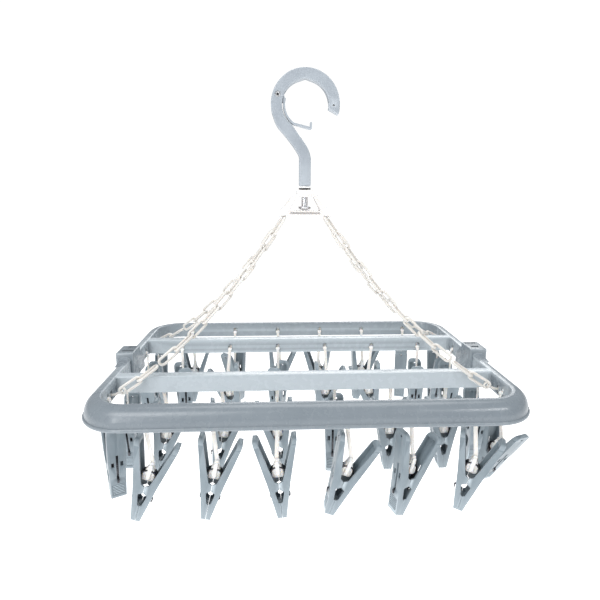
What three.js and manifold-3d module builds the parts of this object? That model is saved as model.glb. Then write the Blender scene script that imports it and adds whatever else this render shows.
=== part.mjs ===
// Clip drying hanger: a swivelling hook carries four chains and a folding frame with hanging pegs.
// Millimetres, +Z up, +X along the frame's long side. The origin is the hook's seat, the highest
// point inside its ring, where a rail or a line holds the hanger up.
import * as THREE from 'three';
import { mergeVertices } from 'three/addons/utils/BufferGeometryUtils.js';
import Module from 'manifold-3d';

const wasm = await Module();
wasm.setup();

// ---- Driving dimensions --------------------------------------------------------------------

const GAP = 0.3;

const RING = { centre: -24.5, inner: 23.2, outer: 34.3, depth: 11, bevel: 1.2 };
const STEM = { half: 5.9, kneeZ: -74.5, bottom: -103 };
const GATE = { x: -27.4, z: -15.2, pinR: 1.8, bossR: 4.2, halfWidth: 2.8, strip: 2.2 };

const HUB = { top: -106.9, bottom: -132.4, halfTop: 8, halfBottom: 26.5, depth: 20, plate: 4.5 };
const PIN = { r: 3.2, flangeR: 6.4, flangeTop: -123.4, flangeH: 3 };
const CHAIN_EYE = { x: 22.5, y: 6.5 };

const FRAME = {
  top: -284, innerX: 185.4, innerY: 125, railW: 17.2, railH: 19, wall: 1.9, cornerR: 43,
  barInner: 52.6, barDepth: 11.6, barH: 17.4, holeZ: 10.8, holeR: 2.6,
};
const PEG_COLUMNS = [-145, -87, -29, 29, 87, 145];
const SIDE_PEG_Y = [41, 89];

const HINGE = {
  below: 18, boxTop: 8, boxX: [182.2, 200.4], front: -19, back: 8, knuckleR: 22,
  tongueX: [188, 195], tongueR: 20.6, pinR: 2.2, lug: 4.2,
  topSlots: {
    left: [[184.5, 193, 1, 4.5], [183.6, 196, -12, -9]],
    right: [[183.6, 196.7, 1.5, 5], [186, 194.5, -12, -8]],
  },
};

const LINK = { wire: 2.6, width: 9.4, pitch: 19, overlap: 0.6 };
const SLOT = { y: 80, below: 12 };
const CHAIN = { sag: 20, links: 10, endLinks: 2, gap: 0.9 };

const PEG = {
  armTop: 42, armHalf: 19.5, pivotHalf: 10.5, tabZ: -14, tabHalf: 8, tipZ: -36, tipHalf: 4,
  width: 16.4, skin: 1.7, drop: 64.2, offset: 1.3,
};
const STRAP = {
  thick: 1.6, half: 1.7, rise: 2, elbow: 9.5, bellHalf: 5.2, bellTop: 20, bellDepth: 8.4,
};

const DETAILED = 3;

// How each peg has come to rest: its lean along the bar and its turn about the strap, in degrees.
const HANG = {
  front: { lean: [18, 12, -5, 21, 16, 12], turn: [0, 0, 0, 0, 16, -24] },
  front_bar: { lean: [14, 12, -7, 10, 1, -1], turn: [0, 8, 0, 78, 0, 0] },
  rear_bar: { lean: [-6, -14, 4, 10, -12, 3], turn: [-70, 0, 72, 0, 0, 80] },
  rear: { lean: [5, -8, 10, -4, 9, -6], turn: [0, 60, 0, -15, 0, 75] },
  left: { lean: [2, 0, 0, -2], turn: [29, 0, 0, 0] },
  right: { lean: [20, 0, 0, 2], turn: [20, 0, 0, 0] },
};

// ---- Colours -------------------------------------------------------------------------------

const plastic = (color, roughness = 0.45) => () =>
  new THREE.MeshStandardMaterial({ color, roughness, metalness: 0 });
const BLUE = plastic(0xa3b3be);
const IVORY = plastic(0xf4f1e8, 0.5);
const STEEL = () => new THREE.MeshStandardMaterial({ color: 0x4a4c50, roughness: 0.35, metalness: 0.9 });

// ---- Solids --------------------------------------------------------------------------------

const rad = THREE.MathUtils.degToRad;

// A closed three.js geometry as a manifold solid.
function solid(geometry) {
  const bare = geometry.index ? geometry.toNonIndexed() : geometry.clone();
  bare.deleteAttribute('normal');
  bare.deleteAttribute('uv');
  const merged = mergeVertices(bare, 1e-4);
  return new wasm.Manifold(new wasm.Mesh({
    numProp: 3,
    vertProperties: new Float32Array(merged.attributes.position.array),
    triVerts: new Uint32Array(merged.index.array),
  }));
}

// A manifold solid as a three.js geometry.
function geometryOf(body) {
  const mesh = body.getMesh();
  const geometry = new THREE.BufferGeometry();
  const points = new Float32Array(mesh.numVert * 3);
  for (let i = 0; i < mesh.numVert; i++) {
    points.set(mesh.vertProperties.subarray(i * mesh.numProp, i * mesh.numProp + 3), i * 3);
  }
  geometry.setAttribute('position', new THREE.BufferAttribute(points, 3));
  geometry.setIndex(new THREE.BufferAttribute(new Uint32Array(mesh.triVerts), 1));
  geometry.computeVertexNormals();
  return geometry;
}

const join = (bodies) => bodies.reduce((sum, body) => sum.add(body));
const cut = (body, tools) => tools.reduce((rest, tool) => rest.subtract(tool), body);

const box = (x0, x1, y0, y1, z0, z1) =>
  solid(new THREE.BoxGeometry(x1 - x0, y1 - y0, z1 - z0)
    .translate((x0 + x1) / 2, (y0 + y1) / 2, (z0 + z1) / 2));

// A cylinder along one axis, centred on a point.
function rod(axis, r, length, x, y, z, sides = 12) {
  const geometry = new THREE.CylinderGeometry(r, r, length, sides);
  if (axis === 'x') geometry.rotateZ(Math.PI / 2);
  if (axis === 'z') geometry.rotateX(Math.PI / 2);
  return solid(geometry.translate(x, y, z));
}

const shapeOf = (points) => new THREE.Shape(points.map(([x, y]) => new THREE.Vector2(x, y)));

// An outline given in X and Z, extruded through Y and centred on y = 0.
function slabXZ(shape, depth, bevel = 0, curveSegments = 8) {
  const geometry = new THREE.ExtrudeGeometry(shape, {
    depth: depth - 2 * bevel, bevelEnabled: bevel > 0, bevelThickness: bevel, bevelSize: bevel,
    bevelOffset: -bevel, bevelSegments: 1, curveSegments,
  });
  return geometry.translate(0, 0, -(depth - 2 * bevel) / 2).rotateX(Math.PI / 2);
}

// An outline given in Y and Z, extruded from x0 to x1.
function slabYZ(shape, x0, x1) {
  const geometry = new THREE.ExtrudeGeometry(shape, { depth: x1 - x0, bevelEnabled: false });
  return geometry.rotateX(Math.PI / 2).rotateZ(Math.PI / 2).translate(x0, 0, 0);
}

const arcPoints = (cx, cy, r, from, to, steps) =>
  Array.from({ length: steps + 1 }, (_, i) => {
    const a = rad(from + ((to - from) * i) / steps);
    return [cx + r * Math.cos(a), cy + r * Math.sin(a)];
  });

// A rectangular bar from one point to another; its height lies towards the direction up.
function bar(a, b, width, height, up = new THREE.Vector3(0, 0, 1)) {
  const turn = new THREE.Matrix4().lookAt(b, a, up);
  const centre = a.clone().add(b).multiplyScalar(0.5);
  return solid(new THREE.BoxGeometry(width, height, a.distanceTo(b))
    .applyMatrix4(turn).translate(centre.x, centre.y, centre.z));
}

const root = new THREE.Group();

function place(parent, name, geometry, material) {
  const mesh = new THREE.Mesh(geometry, material());
  mesh.name = name;
  parent.add(mesh);
  return mesh;
}

// ---- Hook, gate and swivel -----------------------------------------------------------------

// The ring, its shallow V seat at the top, and the cranked stem, seen from the front.
function hookOutline() {
  const { centre: c, inner, outer } = RING;
  const points = [
    ...arcPoints(0, c, outer, -15.7, 194, 26),
    [-28.6, c - 19.9], [-19.6, c - 30.4], [-11.2, c - 41], [-7, c - 47.5],
    [-STEM.half, STEM.kneeZ], [-STEM.half, STEM.bottom],
    [STEM.half, STEM.bottom], [STEM.half, STEM.kneeZ - 1], [3.6, c - 43.2], [-0.6, c - 36.2],
    [-6.8, c - 28],
    ...arcPoints(0, c, inner, 235, 104, 14), [0, 0], ...arcPoints(0, c, inner, 76, -9.7, 8),
  ];
  return shapeOf(points);
}

function hookBody() {
  const { centre: c, depth, bevel } = RING;
  const pocket = join([
    rod('y', GATE.bossR + 1.4, 2 * GATE.halfWidth + 0.8, GATE.x, 0, GATE.z, 14),
    box(GATE.x, -16, -GATE.halfWidth - 0.4, GATE.halfWidth + 0.4, GATE.z - 11, GATE.z + 4),
  ]);
  return cut(solid(slabXZ(hookOutline(), depth, bevel)), [
    pocket,
    rod('y', GATE.pinR + GAP, depth + 2, GATE.x, 0, GATE.z),
    rod('y', 1.1, depth + 2, 28, 0, c - 0.5, 8),
    rod('z', PIN.r + GAP, 16, 0, 0, STEM.bottom + 6),
  ]);
}

// The gate's strip hugs the ring's inner wall and runs on as a straight arm with a turned-up lip.
function gateBody() {
  const c = RING.centre;
  const outer = RING.inner - 0.9;
  const inner = outer - GATE.strip;
  const strip = shapeOf([
    ...arcPoints(0, c, outer, 163, 237, 8), [5, c - 23], [6.8, c - 22.6], [6.8, c - 16],
    [4.8, c - 16], [4.8, c - 20.6],
    ...arcPoints(0, c, inner, 237, 163, 8),
  ]);
  const shank = shapeOf([
    [GATE.x - 1, GATE.z - 4], [GATE.x + 2.5, GATE.z + 3.2], [-20.4, c + 7.4], [-20.6, c + 1],
  ]);
  return cut(join([
    solid(slabXZ(strip, 2 * GATE.halfWidth)),
    solid(slabXZ(shank, 2 * GATE.halfWidth)),
    rod('y', GATE.bossR, 2 * GATE.halfWidth, GATE.x, 0, GATE.z, 14),
  ]), [rod('y', GATE.pinR + GAP, 20, GATE.x, 0, GATE.z)]);
}

const lathe = (points, sides = 16) =>
  new THREE.LatheGeometry(points.map(([r, z]) => new THREE.Vector2(r, z)), sides)
    .rotateX(Math.PI / 2);

function swivelPin() {
  const { r, flangeR, flangeTop, flangeH } = PIN;
  return lathe([
    [0, flangeTop - flangeH], [flangeR, flangeTop - flangeH], [flangeR, flangeTop],
    [r, flangeTop], [r, STEM.bottom + 13], [0, STEM.bottom + 13],
  ]);
}

const swivelWasher = () => lathe([
  [PIN.r + GAP, HUB.top + GAP], [6.2, HUB.top + GAP], [6.2, STEM.bottom - GAP],
  [PIN.r + GAP, STEM.bottom - GAP], [PIN.r + GAP, HUB.top + GAP],
]);

// The hub is a flared yoke with a window round the swivel pin's head and an eye at each corner.
function hubBody() {
  const { top, bottom, halfTop, halfBottom, depth, plate } = HUB;
  const yoke = shapeOf([
    [-halfBottom, bottom], [halfBottom, bottom], [halfBottom, bottom + plate],
    [21, bottom + 9], [13, top - 5.5], [halfTop, top - 4], [halfTop, top],
    [-halfTop, top], [-halfTop, top - 4], [-13, top - 5.5], [-21, bottom + 9],
    [-halfBottom, bottom + plate],
  ]);
  const window = shapeOf([
    [-16, bottom + plate], [16, bottom + plate], [9, top - 7], [-9, top - 7],
  ]);
  const eyes = [-1, 1].flatMap((sx) => [-1, 1].map((sy) =>
    rod('z', 2.9, 14, sx * CHAIN_EYE.x, sy * CHAIN_EYE.y, bottom + 3, 10)));
  return cut(solid(slabXZ(yoke, depth, 0.8)), [
    solid(slabXZ(window, depth + 2)), rod('z', PIN.r + GAP, 20, 0, 0, top - 2), ...eyes,
  ]);
}

place(root, 'hook_body', geometryOf(hookBody()), BLUE);
place(root, 'hook_gate', geometryOf(gateBody()), BLUE);
place(root, 'gate_pin',
  geometryOf(rod('y', GATE.pinR, RING.depth + 0.6, GATE.x, 0, GATE.z, 12)), STEEL);
place(root, 'swivel_pin', swivelPin(), STEEL);
place(root, 'swivel_washer', swivelWasher(), IVORY);
place(root, 'hub', geometryOf(hubBody()), IVORY);

// ---- Folding frame -------------------------------------------------------------------------

// The rail's channel section: n runs outward from the inner wall, z down from the rail's top.
function railSection() {
  const { railW: w, railH: h, wall: t } = FRAME;
  return [
    [0, -1.2], [1.2, 0], [4.5, 0], [8.5, -1.5], [12.3, -5], [14.8, -10], [15.8, -15.6],
    [w, -16.4], [w, -h], [w - 2.6, -h], [15.8 - t, -15.6], [14.8 - t - 0.2, -10.4],
    [12.3 - t, -6.8], [8.2 - t / 2, -3.4], [4.5, -t], [t, -t], [t, -h + 0.5], [0, -h + 0.5],
  ];
}

// The rail's inner-wall line in plan, from the hinge round both corners and back. Side -1 is the
// front half and side 1 the rear half.
function railPath(side) {
  const { innerX: x, innerY: y, cornerR } = FRAME;
  const r = cornerR - FRAME.railW;
  const quarter = (cx, from, to) => arcPoints(cx, y - r, r, from, to, 6);
  const plan = [[-x, 0], ...quarter(-x + r, 180, 90), ...quarter(x - r, 90, 0), [x, 0]];
  return plan.map(([px, py]) => [px, side * py]);
}

// Sweeps the section along the plan line, mitred at each point, as a closed solid.
function sweepRail(side) {
  const section = railSection();
  const path = railPath(side);
  const unit = (a, b) => new THREE.Vector2(b[0] - a[0], b[1] - a[1]).normalize();
  const rings = path.map((point, i) => {
    const before = unit(path[Math.max(i - 1, 0)], path[Math.max(i, 1)]);
    const after = unit(path[Math.min(i, path.length - 2)], path[Math.min(i + 1, path.length - 1)]);
    const along = before.clone().add(after).normalize();
    const outward = new THREE.Vector2(-along.y, along.x).multiplyScalar(side);
    const stretch = 1 / along.dot(after);
    return section.map(([n, z]) => [
      point[0] + outward.x * n * stretch, point[1] + outward.y * n * stretch, FRAME.top + z,
    ]);
  });
  const count = section.length;
  const triangles = [];
  for (let i = 0; i + 1 < rings.length; i++) {
    for (let k = 0; k < count; k++) {
      const next = (k + 1) % count;
      triangles.push([rings[i][k], rings[i + 1][k], rings[i + 1][next]]);
      triangles.push([rings[i][k], rings[i + 1][next], rings[i][next]]);
    }
  }
  const flat = section.map(([n, z]) => new THREE.Vector2(n, z));
  const turned = THREE.ShapeUtils.isClockWise(flat) ? -1 : 1;
  for (const face of THREE.ShapeUtils.triangulateShape([...flat], [])) {
    const [a, b, c] = THREE.ShapeUtils.area(face.map((k) => flat[k])) * turned > 0
      ? face : [...face].reverse();
    triangles.push([rings[0][a], rings[0][b], rings[0][c]]);
    triangles.push([rings.at(-1)[c], rings.at(-1)[b], rings.at(-1)[a]]);
  }
  const ordered = side > 0 ? triangles : triangles.map(([a, b, c]) => [a, c, b]);
  const geometry = new THREE.BufferGeometry();
  geometry.setAttribute('position', new THREE.Float32BufferAttribute(ordered.flat(2), 3));
  return solid(geometry);
}

// The crossbar is an inverted channel between the side arms' inner walls.
function crossbar(side) {
  const { top, innerX, barInner, barDepth, barH, wall } = FRAME;
  const near = side * barInner;
  const far = side * (barInner + barDepth);
  const [y0, y1] = [Math.min(near, far), Math.max(near, far)];
  const end = innerX + 0.6;
  return cut(box(-end, end, y0, y1, top - barH, top - 0.4), [
    box(-innerX + 1, innerX - 1, y0 + wall, y1 - wall, top - barH - 1, top - 0.4 - wall),
  ]);
}

// Peg holes through the rail's and crossbar's inner walls, and the side arms' holes and slots.
function frameHoles(side) {
  const { top, innerX, innerY, barInner, holeZ, holeR } = FRAME;
  const z = top - holeZ;
  const bars = [innerY, barInner].flatMap((y) => PEG_COLUMNS.map((x) =>
    rod('y', holeR, 8, x, side * (y + 1), z, 6)));
  const arms = [-1, 1].flatMap((sx) => [
    ...SIDE_PEG_Y.map((y) => rod('x', holeR, 8, sx * (innerX + 1), side * y, z, 6)),
    box(sx * (innerX + 1) - 4, sx * (innerX + 1) + 4, side * SLOT.y - 1.8, side * SLOT.y + 1.8,
      top - SLOT.below - 3.6, top - SLOT.below + 3.6),
  ]);
  return [...bars, ...arms];
}

const pivotZ = FRAME.top - HINGE.below;
const onSide = (sx, [a, b]) => (sx > 0 ? [a, b] : [-b, -a]);

// The front half's hinge housing: a raised box with a round back, seen from the side.
function housing(sx) {
  const { boxTop, boxX, front, back, knuckleR, lug } = HINGE;
  const height = FRAME.top + boxTop - pivotZ;
  const start = THREE.MathUtils.radToDeg(Math.acos(back / knuckleR));
  const outline = [
    [front, -0.4], [front, height - 1.5], [front + 1.5, height], [back - 1.5, height],
    [back, height - 1.5], ...arcPoints(0, 0, knuckleR, start, -11, 9),
    [6, -lug], [-6, -lug],
  ].map(([y, h]) => [y, pivotZ + h]);
  return solid(slabYZ(shapeOf(outline), ...onSide(sx, boxX)));
}

// Space swept round the hinge line by the other half, with a small running gap.
const sweepSpace = (sx, r, range) => {
  const [x0, x1] = onSide(sx, range);
  return rod('x', r, x1 - x0, (x0 + x1) / 2, 0, pivotZ, 32);
};

const endCap = (sx, y0, y1) => box(...onSide(sx, [180, 210]), y0, y1, FRAME.top - 30, FRAME.top + 20);

function frameFront() {
  const { tongueX, tongueR, pinR, boxTop, topSlots } = HINGE;
  const clear = [tongueX[0] - 0.5, tongueX[1] + 0.5];
  const slots = (sx) => topSlots[sx > 0 ? 'right' : 'left'].map(([x0, x1, y0, y1]) =>
    box(...onSide(sx, [x0, x1]), y0, y1, FRAME.top + boxTop - 3, FRAME.top + boxTop + 1));
  const body = join([sweepRail(-1), crossbar(-1)]);
  const trimmed = cut(body, [-1, 1].map((sx) => endCap(sx, -4, 6)));
  return cut(join([trimmed, housing(-1), housing(1)]), [
    ...frameHoles(-1),
    ...[-1, 1].flatMap((sx) => [
      sweepSpace(sx, tongueR + 0.7, clear),
      box(...onSide(sx, clear), 0, 30, pivotZ - 12, pivotZ + 20.6),
      rod('x', pinR + GAP, 24, sx * 191.5, 0, pivotZ),
      ...slots(sx),
    ]),
  ]);
}

function frameRear() {
  const { tongueX, tongueR, knuckleR, pinR, lug } = HINGE;
  const tongue = (sx) => {
    const outline = [
      [knuckleR + 6, -0.6], [knuckleR + 6, 13], [15, 13.5],
      ...arcPoints(0, 0, tongueR, 42, 192, 12), [-5, -lug], [5, -lug],
    ].map(([y, h]) => [y, pivotZ + h]);
    return solid(slabYZ(shapeOf(outline), ...onSide(sx, tongueX)));
  };
  const body = cut(join([sweepRail(1), crossbar(1)]), [
    ...[-1, 1].flatMap((sx) => [
      sweepSpace(sx, knuckleR + 0.6, [180, 210]),
      endCap(sx, -1, 8.6),
    ]),
  ]);
  return cut(join([body, tongue(-1), tongue(1)]), [
    ...frameHoles(1),
    ...[-1, 1].map((sx) => rod('x', pinR + GAP, 24, sx * 191.5, 0, pivotZ)),
  ]);
}

place(root, 'frame_front', geometryOf(frameFront()), BLUE);
place(root, 'frame_rear', geometryOf(frameRear()), BLUE);
for (const [name, sx] of [['left', -1], ['right', 1]]) {
  const [x0, x1] = onSide(sx, [182.6, 200]);
  place(root, `hinge_pin_${name}`,
    geometryOf(rod('x', HINGE.pinR, x1 - x0, (x0 + x1) / 2, 0, pivotZ)), STEEL);
}

// ---- Chains --------------------------------------------------------------------------------

// A chain hangs in a shallow curve from an eye in the hub to a slot in a side arm.
function chainCurve(sx, side) {
  const from = new THREE.Vector3(sx * CHAIN_EYE.x, side * CHAIN_EYE.y, HUB.bottom - 3.4);
  const to = new THREE.Vector3(sx * (FRAME.innerX - 4), side * SLOT.y, FRAME.top - SLOT.below);
  const low = from.clone().add(to).multiplyScalar(0.5);
  low.z -= 2 * CHAIN.sag;
  return new THREE.QuadraticBezierCurve3(from, low, to);
}

// One stadium-shaped link, long in X and flat in Z.
function linkGeometry() {
  const { wire, width, pitch, overlap } = LINK;
  const straight = (pitch + 2 * wire - overlap - width) / 2;
  const ring = (r, steps) => [
    ...arcPoints(straight, 0, r, -90, 90, steps), ...arcPoints(-straight, 0, r, 90, 270, steps),
  ];
  const shape = shapeOf(ring(width / 2, 3));
  shape.holes.push(new THREE.Path(
    ring(width / 2 - wire, 3).reverse().map(([x, y]) => new THREE.Vector2(x, y))));
  return new THREE.ExtrudeGeometry(shape, { depth: wire, bevelEnabled: false })
    .translate(0, 0, -wire / 2);
}

// A link between two points, flat or on edge in turn.
function linkBetween(a, b, index) {
  const along = b.clone().sub(a).normalize();
  const sideways = new THREE.Vector3(0, 0, 1).cross(along).normalize();
  const normal = along.clone().cross(sideways);
  const spin = new THREE.Matrix4().makeRotationX(rad(90 * (index % 2)));
  const turn = new THREE.Matrix4().makeBasis(along, sideways, normal).multiply(spin);
  const centre = a.clone().add(b).multiplyScalar(0.5);
  return solid(linkGeometry().applyMatrix4(turn).translate(centre.x, centre.y, centre.z));
}

// Consecutive links from the one numbered first, starting a distance down the curve.
function linksAlong(curve, start, first, count) {
  const total = curve.getLength();
  const at = (distance) => curve.getPointAt(distance / total);
  return Array.from({ length: count }, (_, i) => {
    const from = start + i * LINK.pitch;
    return linkBetween(at(from), at(from + LINK.pitch), first + i);
  });
}

// The chain's last links and the hook that goes through the slot in the side arm's inner wall.
function chainEnd(curve, sx, side) {
  const start = CHAIN.links * LINK.pitch + 2 * LINK.wire + CHAIN.gap;
  const links = linksAlong(curve, start, CHAIN.links, CHAIN.endLinks);
  const reach = start + CHAIN.endLinks * LINK.pitch - LINK.wire;
  const heel = curve.getPointAt(reach / curve.getLength());
  const slot = new THREE.Vector3(sx * (FRAME.innerX - 1), side * SLOT.y, FRAME.top - SLOT.below);
  const tip = slot.clone().setX(sx * (FRAME.innerX + 4.6));
  return join([
    ...links, bar(heel, slot, LINK.wire, LINK.wire), bar(slot, tip, LINK.wire, LINK.wire),
    box(...onSide(sx, [FRAME.innerX + 2.6, FRAME.innerX + 4.6]), slot.y - 1.2, slot.y + 1.2,
      slot.z - 3.1, slot.z + 3.1),
  ]);
}

for (const [end, side] of [['front', -1], ['rear', 1]]) {
  for (const [hand, sx] of [['left', -1], ['right', 1]]) {
    const curve = chainCurve(sx, side);
    const links = join(linksAlong(curve, 0, 0, CHAIN.links));
    place(root, `chain_${end}_${hand}`, geometryOf(links), IVORY);
    place(root, `chain_hook_${end}_${hand}`, geometryOf(chainEnd(curve, sx, side)), IVORY);
  }
}

// ---- Pegs ----------------------------------------------------------------------------------
// A peg is drawn round its pivot, open arms up, its V in the X-Z plane, then leaned and turned.

const outerEdge = (z) => {
  const { armTop, armHalf, pivotHalf, tabZ, tabHalf, tipZ, tipHalf } = PEG;
  if (z > 0) return pivotHalf + ((armHalf - pivotHalf) * z) / armTop;
  if (z > tabZ) return pivotHalf + ((tabHalf - pivotHalf) * z) / tabZ;
  return tabHalf + ((tipHalf - tabHalf) * (z - tabZ)) / (tipZ - tabZ);
};

// One side wall of the right jaw, from its tip up its outer edge and back down the V.
const jawOutline = (parting) => [
  [parting, PEG.tipZ], [PEG.tipHalf, PEG.tipZ], [PEG.tabHalf, PEG.tabZ], [PEG.pivotHalf, 0],
  [PEG.armHalf, PEG.armTop - 1.5], [PEG.armHalf - 1.3, PEG.armTop], [PEG.armHalf - 3.8, PEG.armTop - 0.6],
  [7.3, 13], [3.6, 1], [parting, -1], [parting, -7], [4.1, -9.6], [1.9, -20], [parting, -21],
];

function jaw(hand) {
  const hollow = shapeOf([
    [-1, -23], [outerEdge(-23) - PEG.skin, -23], [outerEdge(-14) - PEG.skin, -14],
    [outerEdge(0) - PEG.skin, 0], [outerEdge(37) - PEG.skin, 37], [-1, 37],
  ]);
  const slot = box(5, 20, -0.9, 0.9, -15, 6);
  const body = cut(solid(slabXZ(shapeOf(jawOutline(GAP / 2)), PEG.width)), [
    solid(slabXZ(hollow, PEG.width - 3.2)), slot,
  ]);
  const geometry = geometryOf(body);
  return hand > 0 ? geometry : geometry.rotateZ(Math.PI);
}

// The two jaws joined into one plain clip, with the window between their side walls.
function plainClip() {
  const right = jawOutline(0).filter(([x]) => x > 0);
  const outer = right.slice(0, 8);
  const shape = shapeOf([...outer, ...outer.map(([x, z]) => [-x, z]).reverse()]);
  const window = [[0, -6.6], [4.1, -9.6], [1.9, -20], [-1.9, -20], [-4.1, -9.6]];
  shape.holes.push(new THREE.Path(window.map(([x, z]) => new THREE.Vector2(x, z))));
  return solid(slabXZ(shape, PEG.width));
}

// The spring's arc lies over the pivot and its legs press on the jaws from inside.
function springGeometry() {
  const path = new THREE.CatmullRomCurve3([
    [-4.6, -16], [-6.6, -8], [-7.6, 0], [-7.4, 6], [-4.6, 10.8], [0, 12.6],
    [4.6, 10.8], [7.4, 6], [7.6, 0], [6.6, -8], [4.6, -16],
  ].map(([x, z]) => new THREE.Vector3(x, 0, z)));
  const section = shapeOf(arcPoints(0, 0, 0.7, 0, 300, 5));
  return new THREE.ExtrudeGeometry(section, { steps: 12, extrudePath: path, bevelEnabled: false });
}

// The strap's lower end is a bell drawn in the clip's frame; a forked one straddles the spring.
function bellBody(forked) {
  const { half, bellHalf, bellTop, bellDepth } = STRAP;
  const outline = shapeOf([
    [-bellHalf, 4.4], [-2.6, 2.8], [2.6, 2.8], [bellHalf, 4.4], [half, bellTop], [-half, bellTop],
  ]);
  const bell = solid(slabXZ(outline, bellDepth));
  return forked ? cut(bell, [box(-9, 9, -1.5, 1.5, 0, 14)]) : bell;
}

// Hangs one peg from its hole. Heading turns it about Z so that its strap lies against the wall.
// The left jaw is the one on the frame's left-hand side.
function addPeg(name, x, y, heading, lean, turn, detailed) {
  const hang = new THREE.Group();
  hang.position.set(x, y, FRAME.top - FRAME.holeZ);
  hang.rotation.z = rad(heading);
  root.add(hang);
  const clip = new THREE.Matrix4().makeRotationZ(rad(turn))
    .multiply(new THREE.Matrix4().makeRotationY(rad(lean)))
    .setPosition(0, -PEG.offset, -PEG.drop);
  const inClip = (geometry) => geometry.applyMatrix4(clip);
  const bellTop = new THREE.Vector3(0, 0, STRAP.bellTop - 0.5).applyMatrix4(clip);
  const onWall = (z) =>
    new THREE.Vector3((bellTop.x * (STRAP.rise - z)) / (STRAP.rise - bellTop.z), -PEG.offset, z);
  const ribbon = (a, b) => bar(a, b, 2 * STRAP.half, STRAP.thick, new THREE.Vector3(0, 1, 0));
  const strap = join([
    ribbon(onWall(STRAP.rise), onWall(-STRAP.elbow - STRAP.thick / 2)),
    ribbon(onWall(-STRAP.elbow), bellTop),
    solid(inClip(geometryOf(bellBody(detailed)))),
  ]);
  if (!detailed) {
    const clipBody = solid(inClip(geometryOf(plainClip())));
    place(hang, `peg_${name}`, geometryOf(strap.add(clipBody)), BLUE);
    return;
  }
  const leftHand = heading === 180 ? 1 : -1;
  place(hang, `jaw_left_${name}`, inClip(jaw(leftHand)), BLUE);
  place(hang, `jaw_right_${name}`, inClip(jaw(-leftHand)), BLUE);
  place(hang, `spring_${name}`, inClip(springGeometry()), STEEL);
  place(hang, `strap_${name}`, geometryOf(strap), IVORY);
}

const BARS = {
  front: { y: -FRAME.innerY, heading: 180 },
  front_bar: { y: -FRAME.barInner, heading: 180 },
  rear_bar: { y: FRAME.barInner, heading: 0 },
  rear: { y: FRAME.innerY, heading: 0 },
};
for (const [row, { y, heading }] of Object.entries(BARS)) {
  const mirrored = heading === 180 ? -1 : 1;
  PEG_COLUMNS.forEach((x, i) => addPeg(`${row}_${i + 1}`, x, y, heading,
    mirrored * HANG[row].lean[i], HANG[row].turn[i], row === 'front' && i < DETAILED));
}
for (const [hand, sx] of [['left', -1], ['right', 1]]) {
  const stations = [-SIDE_PEG_Y[1], -SIDE_PEG_Y[0], SIDE_PEG_Y[0], SIDE_PEG_Y[1]];
  stations.forEach((y, i) => addPeg(`${hand}_${i + 1}`, sx * FRAME.innerX, y, -sx * 90,
    HANG[hand].lean[i], HANG[hand].turn[i], false));
}

export default root;
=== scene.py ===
"""Clip drying hanger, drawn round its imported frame.

Shapes are given in millimetres in the frame's own axes (+X along the long side, +Y to the rear,
+Z up, origin at the hook's seat) and turned into metres when their mesh is made.
"""

import math

import bmesh
import bpy
from mathutils import Matrix, Vector


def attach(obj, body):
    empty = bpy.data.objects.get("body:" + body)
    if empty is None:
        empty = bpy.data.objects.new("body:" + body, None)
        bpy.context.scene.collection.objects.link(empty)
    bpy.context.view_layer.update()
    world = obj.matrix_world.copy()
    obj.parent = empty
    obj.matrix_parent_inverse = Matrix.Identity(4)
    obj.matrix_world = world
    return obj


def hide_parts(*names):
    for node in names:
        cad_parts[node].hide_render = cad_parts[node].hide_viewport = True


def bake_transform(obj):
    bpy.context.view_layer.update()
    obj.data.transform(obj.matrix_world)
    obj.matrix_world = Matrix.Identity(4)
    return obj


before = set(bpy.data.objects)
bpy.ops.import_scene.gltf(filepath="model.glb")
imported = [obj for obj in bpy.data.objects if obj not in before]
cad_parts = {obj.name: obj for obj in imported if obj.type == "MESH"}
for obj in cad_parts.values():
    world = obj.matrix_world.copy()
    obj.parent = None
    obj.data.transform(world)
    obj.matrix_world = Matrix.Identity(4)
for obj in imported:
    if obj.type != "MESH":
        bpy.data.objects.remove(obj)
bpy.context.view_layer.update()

MM = 0.001

# ---- Dimensions shared with the frame ------------------------------------------------------

RING_Z, RING_INNER, RING_OUTER = -24.5, 23.2, 34.3
HOOK_DEPTH = 11
STEM_HALF, STEM_KNEE_Z, STEM_BOTTOM = 5.9, -74.5, -103
TIP_HOLE, TIP_HOLE_R = (28, RING_Z - 0.5), 1.1
GATE_PIN = (-27.4, -15.2)
GATE_PIN_HOLE_R, GATE_BOSS_R, GATE_POCKET_R, RIVET_SEAT_R = 2.1, 4.2, 5.6, 2.9
GATE_HALF_WIDTH, GATE_STRIP, GATE_GAP = 2.8, 2.2, 0.9
HUB_TOP, HUB_BOTTOM, HUB_DEPTH, HUB_PLATE = -106.9, -132.4, 20, 4.5
PIN_R, FLANGE_R, FLANGE_TOP, FLANGE_H = 3.2, 6.4, -123.4, 3
EYE_X, EYE_Y = 22.5, 6.5

TOP = -284
INNER_X, INNER_Y, CORNER_R = 185.4, 125, 25.8
WALL = 1.9
BAR_INNER, BAR_DEPTH, BAR_H = 52.6, 11.6, 17.4
HOLE_Z = TOP - 10.8
PIVOT_Z = TOP - 18
SLOT_Y, SLOT_Z = 80, TOP - 12

# The hinge: its box on the front half, and the leaf on the rear half that turns inside it. All radii
# are about the pivot line.
BOX_X, BOX_FRONT, BOX_RISE, BOX_R = (182.2, 200.4), -19, 8, 22
LEAF_X, LEAF_ROOM_X, LEAF_R, LEAF_ROOM_R = (188, 195), (187.5, 195.5), 20.6, 21.3
RAIL_END_R = 22.6
LUG_DROP = 4.2
ROD_R, ROD_HOLE_R, ROD_X = 2.2, 2.5, (182.6, 200)
# Openings in the top of each box: the range of |x|, then of y.
BOX_OPENINGS = {
    "left": ((184.5, 193, 1, 4.5), (183.6, 196, -12, -9)),
    "right": ((183.6, 196.7, 1.5, 5), (186, 194.5, -12, -8)),
}

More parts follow.
